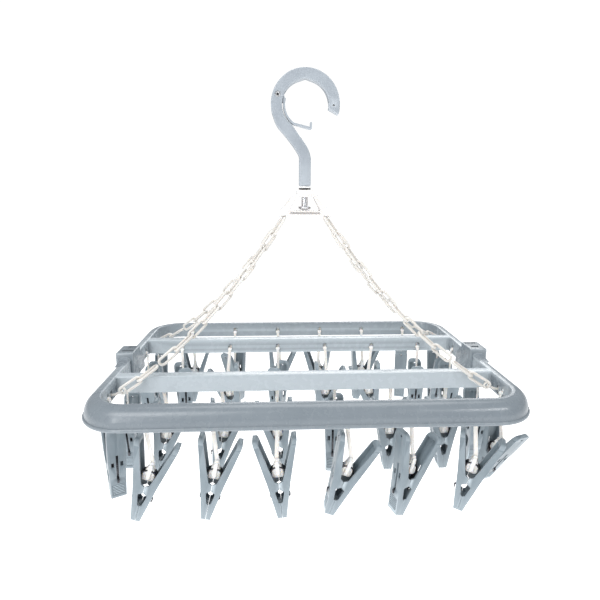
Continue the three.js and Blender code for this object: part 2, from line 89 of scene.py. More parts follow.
LINK_R, LINK_HALF_W, LINK_PITCH = 1.4, 3.4, 19
CHAIN_LINKS, END_LINKS, CHAIN_SAG = 10, 2, 20
END_START = CHAIN_LINKS * LINK_PITCH + 6.1

COLUMNS = (-145, -87, -29, 29, 87, 145)
SIDE_Y = (-89, -41, 41, 89)
PEG_DROP, PEG_OFFSET = 64.2, 1.3
JAW_HALF_WIDTH = 8.2
STRAP_RISE, STRAP_ELBOW, BELL_TOP = 2, 9.5, 19.5

# Each row of pegs: its wall's Y, its heading, and the lean and turn that each peg rests at.
ROWS = {
    "front": (-INNER_Y, 180, (18, 12, -5, 21, 16, 12), (0, 0, 0, 0, 16, -24)),
    "front_bar": (-BAR_INNER, 180, (14, 12, -7, 10, 1, -1), (0, 8, 0, 78, 0, 0)),
    "rear_bar": (BAR_INNER, 0, (-6, -14, 4, 10, -12, 3), (-70, 0, 72, 0, 0, 80)),
    "rear": (INNER_Y, 0, (5, -8, 10, -4, 9, -6), (0, 60, 0, -15, 0, 75)),
}
SIDES = {
    "left": (-1, (2, 0, 0, -2), (29, 0, 0, 0)),
    "right": (1, (20, 0, 0, 2), (20, 0, 0, 0)),
}
DETAILED = ("front_1", "front_2", "front_3")


# ---- Node materials ------------------------------------------------------------------------


def new_material(name):
    material = bpy.data.materials.new(name)
    material.use_nodes = True
    return material, material.node_tree.nodes, material.node_tree.links


def noise_of(nodes, links, scale, detail=3.0, stretch=(1, 1, 1)):
    """Noise in the piece's own coordinates, at a scale given in cycles per metre."""
    where = nodes.new("ShaderNodeTexCoord")
    mapping = nodes.new("ShaderNodeMapping")
    mapping.inputs["Scale"].default_value = stretch
    noise = nodes.new("ShaderNodeTexNoise")
    noise.inputs["Scale"].default_value = scale
    noise.inputs["Detail"].default_value = detail
    links.new(where.outputs["Object"], mapping.inputs["Vector"])
    links.new(mapping.outputs["Vector"], noise.inputs["Vector"])
    return noise.outputs["Fac"]


def ramp_of(nodes, links, value, stops):
    """A colour ramp with stops of (position, colour)."""
    ramp = nodes.new("ShaderNodeValToRGB")
    elements = ramp.color_ramp.elements
    while len(elements) < len(stops):
        elements.new(0.5)
    for element, (position, colour) in zip(elements, stops):
        element.position = position
        element.color = (*colour, 1)
    links.new(value, ramp.inputs["Fac"])
    return ramp.outputs["Color"]


def range_of(nodes, links, value, low, high, source=(0.3, 0.7)):
    scaled = nodes.new("ShaderNodeMapRange")
    scaled.inputs["From Min"].default_value = source[0]
    scaled.inputs["From Max"].default_value = source[1]
    scaled.inputs["To Min"].default_value = low
    scaled.inputs["To Max"].default_value = high
    links.new(value, scaled.inputs["Value"])
    return scaled.outputs["Result"]


def mix_of(nodes, links, mode, factor, a, b):
    mix = nodes.new("ShaderNodeMix")
    mix.data_type = "RGBA"
    mix.blend_type = mode
    if isinstance(factor, float):
        mix.inputs["Factor"].default_value = factor
    else:
        links.new(factor, mix.inputs["Factor"])
    links.new(a, mix.inputs[6])
    if isinstance(b, tuple):
        mix.inputs[7].default_value = (*b, 1)
    else:
        links.new(b, mix.inputs[7])
    return mix.outputs[2]


def bump_of(nodes, links, layers):
    """Bump layers of (height, depth in metres), one on top of the other."""
    normal = None
    for height, depth in layers:
        bump = nodes.new("ShaderNodeBump")
        bump.inputs["Distance"].default_value = depth
        links.new(height, bump.inputs["Height"])
        if normal is not None:
            links.new(normal, bump.inputs["Normal"])
        normal = bump.outputs["Normal"]
    return normal


def plastic(name, dark, light, edge, roughness, soft=0.0, sheer=0.0, grain=0.000012):
    """Moulded plastic: mottled colour, flow streaks, paler edges that are part wear and part painted
    highlight, painted shade in the hollows, a fine skin.
    """
    material, nodes, links = new_material(name)
    shader = nodes["Principled BSDF"]
    mottle = noise_of(nodes, links, 38, 4)
    colour = ramp_of(nodes, links, mottle, [(0.32, dark), (0.68, light)])
    streaks = noise_of(nodes, links, 60, 5, (0.25, 1, 2.2))
    streaked = ramp_of(nodes, links, streaks, [(0.35, (0.93, 0.93, 0.94)), (0.65, (1, 1, 1))])
    colour = mix_of(nodes, links, "MULTIPLY", 0.55, colour, streaked)
    geometry = nodes.new("ShaderNodeNewGeometry")
    # Paler at sharp edges: part wear, part painted highlight.
    wear_and_highlight = range_of(nodes, links, geometry.outputs["Pointiness"], 0.0, 0.75, (0.515, 0.6))
    colour = mix_of(nodes, links, "MIX", wear_and_highlight, colour, edge)
    # Painted shade: darker in hollows and creases, towards a deep tone of the base colour.
    hollow = range_of(nodes, links, geometry.outputs["Pointiness"], 0.7, 0.0, (0.36, 0.46))
    colour = mix_of(nodes, links, "MIX", hollow, colour, tuple(0.4 * c for c in dark))
    links.new(colour, shader.inputs["Base Color"])
    smudge = noise_of(nodes, links, 150, 4)
    rough = range_of(nodes, links, smudge, roughness - 0.05, roughness + 0.07)
    links.new(rough, shader.inputs["Roughness"])
    skin = noise_of(nodes, links, 2600, 2)
    ripple = noise_of(nodes, links, 45, 0)
    links.new(bump_of(nodes, links, [(ripple, 0.00025), (skin, grain)]), shader.inputs["Normal"])
    shader.inputs["IOR"].default_value = 1.49
    if soft:
        shader.inputs["Subsurface Weight"].default_value = soft
        shader.inputs["Subsurface Radius"].default_value = (1, 0.85, 0.7)
        shader.inputs["Subsurface Scale"].default_value = 0.002
    if sheer:
        shader.inputs["Transmission Weight"].default_value = sheer
    return material


def steel(name, dark, light, roughness, stretch):
    """Drawn steel: streaks along the wire, uneven sheen and shallow scratches."""
    material, nodes, links = new_material(name)
    shader = nodes["Principled BSDF"]
    lines = noise_of(nodes, links, 900, 4, stretch)
    colour = ramp_of(nodes, links, lines, [(0.3, dark), (0.7, light)])
    links.new(colour, shader.inputs["Base Color"])
    rough = range_of(nodes, links, noise_of(nodes, links, 300, 3), roughness - 0.08, roughness + 0.12)
    links.new(rough, shader.inputs["Roughness"])
    links.new(bump_of(nodes, links, [(lines, 0.00002)]), shader.inputs["Normal"])
    shader.inputs["Metallic"].default_value = 1
    return material


HOOK_BLUE = plastic("hook_blue", (0.30, 0.335, 0.375), (0.36, 0.40, 0.44), (0.66, 0.71, 0.76), 0.3)
FRAME_BLUE = plastic("frame_blue", (0.196, 0.228, 0.256), (0.216, 0.249, 0.278), (0.55, 0.61, 0.65), 0.25)
PEG_BLUE = plastic("peg_blue", (0.165, 0.208, 0.238), (0.215, 0.263, 0.298), (0.55, 0.63, 0.68), 0.34)
HUB_WHITE = plastic("hub_white", (0.74, 0.71, 0.69), (0.84, 0.81, 0.79), (0.97, 0.97, 0.96), 0.36, 0.25)
CHAIN_WHITE = plastic("chain_white", (0.56, 0.525, 0.48), (0.72, 0.69, 0.645), (0.97, 0.97, 0.95),
                      0.34, 0.15)
WASHER_WHITE = plastic("washer_white", (0.86, 0.86, 0.85), (0.93, 0.93, 0.92), (0.98, 0.98, 0.98), 0.35)
MILKY = plastic("strap_milky", (0.90, 0.85, 0.80), (0.96, 0.93, 0.89), (0.99, 0.98, 0.96), 0.3, 0.4, 0.1)
# Plain black: the dark ring at the swivel, and the painted shade in the gate rivet's bore.
FLAT_BLACK = plastic("flat_black", (0.012, 0.012, 0.013), (0.02, 0.02, 0.021), (0.05, 0.05, 0.05), 0.5)
PIN_STEEL = steel("pin_steel", (0.66, 0.67, 0.69), (0.78, 0.79, 0.81), 0.3, (0.15, 0.15, 1))
SPRING_STEEL = steel("spring_steel", (0.03, 0.03, 0.033), (0.11, 0.11, 0.12), 0.34, (1, 0.15, 1))


# ---- Shapes --------------------------------------------------------------------------------


def arc(cx, cz, r, start, end, steps):
    """Points on an arc; angles in degrees."""
    angles = [math.radians(start + (end - start) * i / steps) for i in range(steps + 1)]
    return [(cx + r * math.cos(a), cz + r * math.sin(a)) for a in angles]


def curve(points, steps):
    """A Catmull-Rom curve through the points, with that many steps from each to the next."""
    points = [Vector(p) for p in points]
    ends = [2 * points[0] - points[1], *points, 2 * points[-1] - points[-2]]
    result = []
    for a, b, c, d in zip(ends, ends[1:], ends[2:], ends[3:]):
        for i in range(steps):
            t = i / steps
            spline = 2 * b + (c - a) * t + (2 * a - 5 * b + 4 * c - d) * t**2
            result.append((spline + (3 * b - 3 * c + d - a) * t**3) / 2)
    return [tuple(p) for p in [*result, points[-1]]]


def prism(outline, low, high, axis="y"):
    """A closed outline extruded along an axis. It is given in X and Z for y, and in Y and Z for x."""
    put = {"y": lambda u, v, w: (u, w, v), "x": lambda u, v, w: (w, u, v), "z": lambda u, v, w: (u, v, w)}
    count = len(outline)
    verts = [put[axis](u, v, w) for w in (low, high) for u, v in outline]
    faces = [tuple(range(count)), tuple(range(2 * count - 1, count - 1, -1))]
    for i in range(count):
        j = (i + 1) % count
        faces.append((j, i, i + count, j + count))
    return verts, faces


def block(x0, x1, y0, y1, z0, z1):
    return prism([(x0, z0), (x1, z0), (x1, z1), (x0, z1)], y0, y1)


def loft(rings, closed=False):
    """A skin over rings of equal count, with flat ends unless it closes on itself."""
    count = len(rings[0])
    verts = [p for ring in rings for p in ring]
    faces = []
    spans = len(rings) if closed else len(rings) - 1
    for i in range(spans):
        a, b = i * count, (i + 1) % len(rings) * count
        for k in range(count):
            n = (k + 1) % count
            faces.append((a + k, a + n, b + n, b + k))
    if not closed:
        faces.append(tuple(range(count)))
        faces.append(tuple(range(len(verts) - 1, len(verts) - 1 - count, -1)))
    return verts, faces


def cylinder(axis, r, low, high, centre, sides=32):
    return prism(arc(*centre, r, 0, 360 - 360 / sides, sides - 1), low, high, axis)


def lathe(profile, centre=(0, 0), sides=40):
    """A profile of (radius, z) turned about the Z axis through a point, and closed flat at both ends."""
    rings = []
    for r, z in profile:
        ring = arc(*centre, max(r, 0.01), 0, 360 - 360 / sides, sides - 1)
        rings.append([(x, y, z) for x, y in ring])
    return loft(rings)


def tube(points, radius, sides=12, closed=False):
    """A round wire along points, its section carried along without twist."""
    points = [Vector(p) for p in points]
    count = len(points)
    rings = []
    across = None
    for i, point in enumerate(points):
        before = points[i - 1] if i or closed else point
        after = points[(i + 1) % count] if i + 1 < count or closed else point
        along = (after - before).normalized()
        if across is None:
            across = along.orthogonal()
        across = (across - along * across.dot(along)).normalized()
        over = along.cross(across)
        angles = [2 * math.pi * k / sides for k in range(sides)]
        rings.append([tuple(point + radius * (math.cos(a) * across + math.sin(a) * over)) for a in angles])
    return loft(rings, closed)


def moved(shape, matrix):
    verts, faces = shape
    return [tuple(matrix @ Vector(v)) for v in verts], faces


def mesh_of(name, shapes):
    """One mesh from closed shapes, in metres, with its faces turned outward."""
    verts, faces = [], []
    for shape_verts, shape_faces in shapes:
        base = len(verts)
        verts += [Vector(v) * MM for v in shape_verts]
        faces += [tuple(base + i for i in face) for face in shape_faces]
    mesh = bpy.data.meshes.new(name)
    mesh.from_pydata(verts, [], faces)
    work = bmesh.new()
    work.from_mesh(mesh)
    bmesh.ops.recalc_face_normals(work, faces=work.faces)
    work.to_mesh(mesh)
    work.free()
    return mesh


def with_modifiers(mesh, add):
    """The mesh after the modifiers that add() puts on a throwaway object."""
    thing = bpy.data.objects.new("work", mesh)
    bpy.context.scene.collection.objects.link(thing)
    add(thing)
    graph = bpy.context.evaluated_depsgraph_get()
    result = bpy.data.meshes.new_from_object(thing.evaluated_get(graph))
    bpy.data.objects.remove(thing)
    return result


def carved(mesh, shapes, operation="DIFFERENCE"):
    """The mesh with the shapes cut away, or with another boolean operation."""
    tool = bpy.data.objects.new("tool", mesh_of("tool", shapes))
    bpy.context.scene.collection.objects.link(tool)

    def add(thing):
        modifier = thing.modifiers.new("cut", "BOOLEAN")
        modifier.operation = operation
        modifier.solver = "EXACT"
        modifier.object = tool

    result = with_modifiers(mesh, add)
    bpy.data.objects.remove(tool)
    return result


def rounded(mesh, width, segments=2, angle=40):
    """The mesh with its sharp edges rounded over, by a width in millimetres."""

    def add(thing):
        modifier = thing.modifiers.new("round", "BEVEL")
        modifier.width = width * MM
        modifier.segments = segments
        modifier.limit_method = "ANGLE"
        modifier.angle_limit = math.radians(angle)

    return with_modifiers(mesh, add)


def piece(name, mesh, material, body=None, stands_for=(), matrix=None, angle=32):
    """Makes a piece of the object from a mesh: smooth shading, its finish, and what it rides on."""
    mesh.name = name
    mesh.polygons.foreach_set("use_smooth", [True] * len(mesh.polygons))
    mesh.set_sharp_from_angle(angle=math.radians(angle))
    mesh.materials.clear()
    mesh.materials.append(material)
    thing = bpy.data.objects.new(name, mesh)
    bpy.context.scene.collection.objects.link(thing)
    if matrix is not None:
        thing.matrix_world = matrix
    if stands_for:
        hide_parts(*stands_for)
    if body is not None:
        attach(thing, body)
    return thing


# ---- Hook, gate and swivel -----------------------------------------------------------------


def hook_outline():
    c = RING_Z
    back = curve(
        [arc(0, c, RING_OUTER, 190, 194, 1)[-1], (-28.6, c - 19.9), (-19.6, c - 30.4), (-11.2, c - 41),
         (-7, c - 47.5), (-STEM_HALF, STEM_KNEE_Z)], 5)
    front = curve(
        [(STEM_HALF, STEM_KNEE_Z - 1), (3.6, c - 43.2), (-0.6, c - 36.2), (-6.8, c - 28),
         arc(0, c, RING_INNER, 235, 230, 1)[0]], 5)
    return [
        *arc(0, c, RING_OUTER, -15.7, 192, 70), *back, (-STEM_HALF, STEM_BOTTOM),
        (STEM_HALF, STEM_BOTTOM), *front, *arc(0, c, RING_INNER, 234, 104, 44),
        (0, 0), *arc(0, c, RING_INNER, 76, -9.7, 30),
    ]


def make_hook():
    x, z = GATE_PIN
    half = HOOK_DEPTH / 2
    pocket = GATE_HALF_WIDTH + 0.4
    body = rounded(mesh_of("hook", [prism(hook_outline(), -half, half)]), 1.1, 3, 30)
    body = carved(body, [cylinder("y", GATE_POCKET_R, -pocket, pocket, (x, z))])
    body = carved(body, [block(x, -16, -pocket, pocket, z - 11, z + 4)])
    body = carved(body, [
        cylinder("y", RIVET_SEAT_R, -half - 1, -half + 0.5, (x, z)),
        cylinder("y", RIVET_SEAT_R, half - 0.5, half + 1, (x, z)),
        cylinder("y", TIP_HOLE_R, -half - 1, half + 1, TIP_HOLE, 24),
        cylinder("z", PIN_R + 0.3, STEM_BOTTOM - 1, STEM_BOTTOM + 14, (0, 0)),
    ])
    body = carved(body, [cylinder("y", GATE_PIN_HOLE_R, -half - 1, half + 1, (x, z))])
    piece("hook_moulding", body, HOOK_BLUE, "hook", ["hook_body"])

    outer = RING_INNER - GATE_GAP
    inner = outer - GATE_STRIP
    c = RING_Z
    strip = [
        *arc(0, c, outer, 163, 237, 36), (4.2, c - 23.2), (6.2, c - 23), (6.8, c - 22), (6.8, c - 16.4),
        (6.3, c - 16), (5.4, c - 16), (4.9, c - 16.5), (4.8, c - 20.6), *arc(0, c, inner, 237, 163, 36),
    ]
    shank = [(x - 1, z - 4), (x + 2.5, z + 3.2), (-20.4, c + 7.4), (-20.6, c + 1)]
    gate = carved(
        mesh_of("gate", [prism(strip, -GATE_HALF_WIDTH, GATE_HALF_WIDTH)]),
        [prism(shank, -GATE_HALF_WIDTH + 0.02, GATE_HALF_WIDTH - 0.02)], "UNION")
    gate = carved(gate, [cylinder("y", GATE_BOSS_R, -GATE_HALF_WIDTH, GATE_HALF_WIDTH, (x, z))], "UNION")
    gate = carved(gate, [cylinder("y", GATE_PIN_HOLE_R, -4, 4, (x, z))])
    piece("gate_moulding", rounded(gate, 0.35), HOOK_BLUE, "gate", ["hook_gate"])

    # A tubular rivet with rolled rims.
    end = half + 0.15
    profile = [
        (1.1, -end + 2), (1.2, -end + 0.3), (1.6, -end), (2.4, -end), (2.75, -end + 0.3), (2.7, -end + 0.6),
        (1.75, -end + 0.7), (1.75, end - 0.7), (2.7, end - 0.6), (2.75, end - 0.3), (2.4, end), (1.6, end),
        (1.2, end - 0.3), (1.1, end - 2),
    ]
    lay = Matrix.Translation((x, 0, z)) @ Matrix.Rotation(math.radians(90), 4, "X")
    rivet = mesh_of("rivet", [moved(lathe([(0, -end + 2), *profile, (0, end - 2)]), lay)])
    piece("gate_rivet", rivet, PIN_STEEL, "hook", ["gate_pin"])
    # Painted shade: a black plug near the bottom of the rivet's bore, for the dark of a deep hole.
    bore_shade = lathe([(0, -end + 1.6), (1.25, -end + 1.6), (1.25, end - 1.6), (0, end - 1.6)], sides=24)
    piece("gate_rivet_bore_shade", mesh_of("bore_shade", [moved(bore_shade, lay)]), FLAT_BLACK, "hook")


def make_swivel():
    low, high = HUB_TOP + 0.3, STEM_BOTTOM - 0.3
    collar = lathe([
        (PIN_R + 0.2, high - 1.7), (6.4, high - 1.7), (6.9, high - 1.4), (6.9, high - 0.4), (6.5, high),
        (PIN_R + 0.2, high),
    ])
    piece("swivel_collar", mesh_of("collar", [collar]), WASHER_WHITE, "hook",
          ["swivel_washer"])
    # A black ring between the collar and the hub.
    dark_ring = lathe([
        (PIN_R + 0.2, low), (5.9, low), (6.1, low + 0.2), (6.1, high - 2), (5.9, high - 1.75),
        (PIN_R + 0.2, high - 1.75),
    ])
    piece("swivel_dark_ring", mesh_of("dark_ring", [dark_ring]), FLAT_BLACK, "hook")
    bottom = FLANGE_TOP - FLANGE_H
    pin = lathe([
        (0, bottom - 0.6), (3.4, bottom - 0.5), (5.2, bottom), (FLANGE_R - 0.2, bottom + 0.5),
        (FLANGE_R, bottom + 0.9), (FLANGE_R, FLANGE_TOP - 0.4), (FLANGE_R - 0.4, FLANGE_TOP),
        (PIN_R + 0.4, FLANGE_TOP), (PIN_R, FLANGE_TOP + 0.4), (PIN_R, STEM_BOTTOM + 12.4),
        (PIN_R - 0.6, STEM_BOTTOM + 13), (0, STEM_BOTTOM + 13),
    ])
    piece("swivel_rivet", mesh_of("rivet", [pin]), PIN_STEEL, "hook", ["swivel_pin"])


def chain_curve(sx, side):
    """A function that gives the point at a distance down a chain, from its hub eye to its slot."""
    start = Vector((sx * EYE_X, side * EYE_Y, HUB_BOTTOM - 3.4))
    end = Vector((sx * (INNER_X - 4), side * SLOT_Y, SLOT_Z))
    low = (start + end) / 2 - Vector((0, 0, 2 * CHAIN_SAG))
    fine = 2000
    points = [start.lerp(low, i / fine).lerp(low.lerp(end, i / fine), i / fine) for i in range(fine + 1)]
    lengths = [0.0]
    for a, b in zip(points, points[1:]):
        lengths.append(lengths[-1] + (b - a).length)

    def at(distance):
        after = next((i for i, value in enumerate(lengths) if value >= distance), fine)
        return points[after]

    return at


def make_hub():
    half = HUB_DEPTH / 2
    bottom, top = HUB_BOTTOM, HUB_TOP
    yoke = [
        (-26.5, bottom), (26.5, bottom), (26.5, bottom + HUB_PLATE), (21, bottom + 9), (13, top - 5.5),
        (8, top - 4), (8, top), (-8, top), (-8, top - 4), (-13, top - 5.5), (-21, bottom + 9),
        (-26.5, bottom + HUB_PLATE),
    ]
    window = [(-16, bottom + HUB_PLATE), (16, bottom + HUB_PLATE), (9, top - 7), (-9, top - 7)]
    body = rounded(carved(mesh_of("hub", [prism(yoke, -half, half)]), [prism(window, -half - 1, half + 1)]),
                   0.9, 3, 28)
    eyes = [cylinder("z", 2.9, bottom - 1, bottom + HUB_PLATE + 6, (sx * EYE_X, sy * EYE_Y), 28)
            for sx in (-1, 1) for sy in (-1, 1)]
    groove = [block(-15, 15, -half - 1, -half + 0.5, bottom + 1.2, bottom + 3.2),
              block(-15, 15, half - 0.5, half + 1, bottom + 1.2, bottom + 3.2)]
    body = carved(body, [cylinder("z", PIN_R + 0.3, top - 9, top + 2, (0, 0)), *eyes, *groove])
    piece("hub_yoke", body, HUB_WHITE, "hub", ["hub"])

    rings = []
    for sx in (-1, 1):
        for side in (-1, 1):
            heading = chain_curve(sx, side)(6) - chain_curve(sx, side)(0)
            heading.z = 0
            heading.normalize()
            centre = Vector((sx * EYE_X, side * EYE_Y, bottom + 0.2))
            path = [centre + 3.4 * (math.cos(a) * heading + math.sin(a) * Vector((0, 0, 1)))
                    for a in [math.radians(10 * i) for i in range(36)]]
            rings.append(tube(path, 1.05, 12, closed=True))
    piece("hub_rings", mesh_of("rings", rings), HUB_WHITE, "hub")


# ---- Chains --------------------------------------------------------------------------------


def link_path(half_length):
    """The centreline of one oval link, long in X."""
    straight = half_length - LINK_HALF_W
    right = arc(straight, 0, LINK_HALF_W, -90, 90, 12)
    left = arc(-straight, 0, LINK_HALF_W, 90, 270, 12)
    return [(x, y, 0) for x, y in [*right, *left]]


def link_between(a, b, index):
    along = (b - a).normalized()
    sideways = Vector((0, 0, 1)).cross(along).normalized()
    basis = Matrix((along, sideways, along.cross(sideways))).transposed().to_4x4()
    spin = Matrix.Rotation(math.radians(90 * (index % 2)), 4, "X")
    place = Matrix.Translation((a + b) / 2) @ basis @ spin
    return moved(tube(link_path(LINK_PITCH / 2 + LINK_R), LINK_R, 12, closed=True), place)


def make_chains():
    for end, side in (("front", -1), ("rear", 1)):
        for hand, sx in (("left", -1), ("right", 1)):
            at = chain_curve(sx, side)
            name = f"{end}_{hand}"
            links = [link_between(at(i * LINK_PITCH), at((i + 1) * LINK_PITCH), i)
                     for i in range(CHAIN_LINKS)]
            piece(f"links_{name}", mesh_of("links", links), CHAIN_WHITE,
                  f"chain_{name}", [f"chain_{name}"])
            starts = [END_START + i * LINK_PITCH for i in range(END_LINKS)]
            last = [link_between(at(s), at(s + LINK_PITCH), CHAIN_LINKS + i)
                    for i, s in enumerate(starts)]
            heel = at(END_START + END_LINKS * LINK_PITCH - 1.4)
            slot = Vector((sx * INNER_X, side * SLOT_Y, SLOT_Z))
            neck = slot - Vector((sx * 3.5, 0, -0.4))
            shank = curve([heel, heel.lerp(neck, 0.5), neck, slot, slot + Vector((sx * 4.2, 0, 0))], 6)
            lug = [slot + Vector((sx * 3.7, 0, dz)) for dz in (-3, -1, 1, 3)]
            eye = [heel + 2.4 * Vector((sx * math.cos(a), 0, math.sin(a)))
                   for a in [math.radians(20 * i) for i in range(18)]]
            hook = [tube(shank, 1.2), tube(lug, 1.1), tube(eye, 1.0, 10, closed=True)]
            piece(f"end_{name}", mesh_of("end", [*last, *hook]), CHAIN_WHITE,
                  f"{end}_half", [f"chain_hook_{name}"])


# ---- Frame ---------------------------------------------------------------------------------


def rail_section():
    """The rail's channel in section: n runs outward from the inner wall and z down from the top."""
    skin = curve([(1.5, -0.04), (4.5, -0.04), (8.5, -1.4), (12.3, -4.9), (14.8, -10), (15.6, -15)], 4)
    bead = curve([(15.7, -15.5), (16.4, -15.8), (17, -16.5), (17.15, -17.5), (16.9, -18.6),
                  (16.1, -19), (15.2, -18.9), (14.6, -18.1), (14.1, -16.6)], 2)
    lining = curve([(13.7, -15), (12.8, -10.3), (10.4, -6.6), (7.4, -3.2), (4.5, -2), (2.6, -2)], 3)
    wall = [(1.9, -2.7), (1.9, -17.9), (1.6, -18.4), (0.4, -18.4), (0.03, -18.0), (0.03, -1.3), (0.4, -0.4)]
    return [*skin, *bead, *lining, *wall]


def rail_shape(side, start):
    """The rail swept round its half of the frame, from the hinge on one side to the other."""
    r = CORNER_R
    x, y = INNER_X, INNER_Y
    plan = [(-x, start), *arc(-x + r, y - r, r, 180, 90, 20), *arc(x - r, y - r, r, 90, 0, 20), (x, start)]
    rings = []
    for i, point in enumerate(plan):
        before = (Vector(plan[max(i, 1)]) - Vector(plan[max(i, 1) - 1])).normalized()
        after_index = min(i, len(plan) - 2)
        after = (Vector(plan[after_index + 1]) - Vector(plan[after_index])).normalized()
        along = (before + after).normalized()
        outward = Vector((-along.y, along.x)) / along.dot(after)
        rings.append([(point[0] + outward.x * n, side * (point[1] + outward.y * n), TOP + z)
                      for n, z in rail_section()])
    return loft(rings)


def bar_shape(side):
    """The crossbar: an inverted channel with rounded top edges, and a raised collar at each end."""
    near, far = BAR_INNER, BAR_INNER + BAR_DEPTH
    top, bottom = TOP - 0.4, TOP - BAR_H
    outline = [
        (near, bottom + 0.4), (near, top - 1.4), *arc(near + 1.4, top - 1.4, 1.4, 165, 90, 4),
        *arc(far - 1.4, top - 1.4, 1.4, 90, 15, 4), (far, top - 1.4), (far, bottom + 0.4),
        (far - 0.4, bottom), (far - WALL + 0.3, bottom), (far - WALL, bottom + 0.4),
        (far - WALL, top - WALL), (near + WALL, top - WALL), (near + WALL, bottom + 0.4),
        (near + WALL - 0.3, bottom), (near + 0.4, bottom),
    ]
    section = [(side * y, z) for y, z in outline]
    shapes = [prism(section, -INNER_X - 0.6, INNER_X + 0.6, "x")]
    for sx in (-1, 1):
        x0, x1 = span(sx, (INNER_X - 3.4, INNER_X + 0.4))
        for face, inward in ((near, 1), (far, -1)):
            y0, y1 = sorted((side * (face - inward * 0.5), side * (face + inward * 0.9)))
            shapes.append(block(x0, x1, y0, y1, bottom + 0.8, top - 1.2))
    return shapes


def peg_slots(side, wall_y):
    """Upright slots for the straps through a wall that runs along X."""
    slots = []
    for x in COLUMNS:
        outline = [*arc(x, HOLE_Z + 2.3, 2.1, 0, 180, 12), *arc(x, HOLE_Z - 0.5, 2.1, 180, 360, 12)]
        y0, y1 = sorted((side * (wall_y - 3), side * (wall_y + 5)))
        slots.append(prism(outline, y0, y1))
    return slots


def slot_rims(side, wall_y):
    """A thin raised rim round each strap slot, on the wall's open face."""
    rims = []
    for x in COLUMNS:
        path = [*arc(x, HOLE_Z + 2.3, 2.5, 0, 180, 14), *arc(x, HOLE_Z - 0.5, 2.5, 180, 360, 14)]
        rims.append(tube([(px, side * (wall_y - 0.05), pz) for px, pz in path], 0.42, 8, closed=True))
    return rims


def side_holes(side):
    """The side arms' strap holes and chain slots."""
    tools = []
    for sx in (-1, 1):
        x0, x1 = span(sx, (INNER_X - 3, INNER_X + 5))
        for y in SIDE_Y[2:]:
            outline = [*arc(side * y, HOLE_Z + 1.6, 2.3, 0, 180, 12),
                       *arc(side * y, HOLE_Z, 2.3, 180, 360, 12)]
            tools.append(prism(outline, x0, x1, "x"))
        tools.append(block(x0, x1, side * SLOT_Y - 1.9, side * SLOT_Y + 1.9, SLOT_Z - 4, SLOT_Z + 4))
    return tools


def hinge_outline():
    """The hinge box in Y and Z: a raised box with rounded shoulders and a round back."""
    corner = 1.8
    level = TOP + BOX_RISE - corner
    box = [
        (BOX_FRONT, PIVOT_Z - 0.4), *arc(BOX_FRONT + corner, level, corner, 180, 90, 4),
        *arc(6.2, level, corner, 90, 0, 4),
    ]
    back = arc(0, PIVOT_Z, BOX_R, 68.6, -11, 30)
    return [*box, *back, (6, PIVOT_Z - LUG_DROP), (-6, PIVOT_Z - LUG_DROP)]


def span(sx, limits):
    """The two values of |x| on one side of the frame, lower first."""
    return sorted(sx * x for x in limits)


def make_hinge(hand, sx):
    x_low, x_high = span(sx, BOX_X)
    gap_low, gap_high = span(sx, LEAF_ROOM_X)
    body = rounded(mesh_of("box", [prism(hinge_outline(), x_low, x_high, "x")]), 1.0, 3, 35)
    body = carved(body, [cylinder("x", LEAF_ROOM_R, gap_low, gap_high, (0, PIVOT_Z), 64)])
    tools = [block(gap_low, gap_high, 0, 30, PIVOT_Z - 12, PIVOT_Z + LEAF_R)]
    for near, far, y0, y1 in BOX_OPENINGS[hand]:
        tools.append(block(*span(sx, (near, far)), y0, y1, TOP + BOX_RISE - 3, TOP + BOX_RISE + 1))
    body = carved(body, tools)
    body = carved(body, [cylinder("x", ROD_HOLE_R, x_low - 1, x_high + 1, (0, PIVOT_Z))])
    piece(f"hinge_box_{hand}", body, FRAME_BLUE, "front_half")

    # A low hump on the rail runs up to the box.
    middle, length, steps = 191, 20, 12
    rings = []
    for i in range(steps + 1):
        t = i / steps
        rise = 4.2 * (1 - t) ** 1.6 + 0.05
        half = 6.2 - 1.6 * t
        outline = [(sx * middle + half * math.cos(a), rise * math.sin(a) ** 0.7) for a in
                   [math.pi * k / 14 for k in range(15)]]
        rings.append([(x, BOX_FRONT + 0.4 - length * t, TOP - 0.4 + z) for x, z in outline])
    piece(f"hinge_ramp_{hand}", mesh_of("ramp", [loft(rings)]), FRAME_BLUE, "front_half")

    tongue = [
        (28, PIVOT_Z - 0.6), (28, PIVOT_Z + 13), (15, PIVOT_Z + 13.5),
        *arc(0, PIVOT_Z, LEAF_R, 42, 192, 40), (-5, PIVOT_Z - LUG_DROP), (5, PIVOT_Z - LUG_DROP),
    ]
    leaf_low, leaf_high = span(sx, LEAF_X)
    leaf = rounded(mesh_of("leaf", [prism(tongue, leaf_low, leaf_high, "x")]), 0.5)
    leaf = carved(leaf, [cylinder("x", ROD_HOLE_R, leaf_low - 1, leaf_high + 1, (0, PIVOT_Z))])
    piece(f"hinge_leaf_{hand}", leaf, FRAME_BLUE, "rear_half")

    chamfer = 0.5
    near, far = ROD_X
    pin = lathe([(0, near), (ROD_R - chamfer, near), (ROD_R, near + chamfer), (ROD_R, far - chamfer),
                 (ROD_R - chamfer, far), (0, far)], sides=32)
    lay = Matrix.Translation((0, 0, PIVOT_Z)) @ Matrix.Rotation(math.radians(90 * sx), 4, "Y")
    piece(f"hinge_rod_{hand}", mesh_of("rod", [moved(pin, lay)]), PIN_STEEL, "hinge_pins",
          [f"hinge_pin_{hand}"])


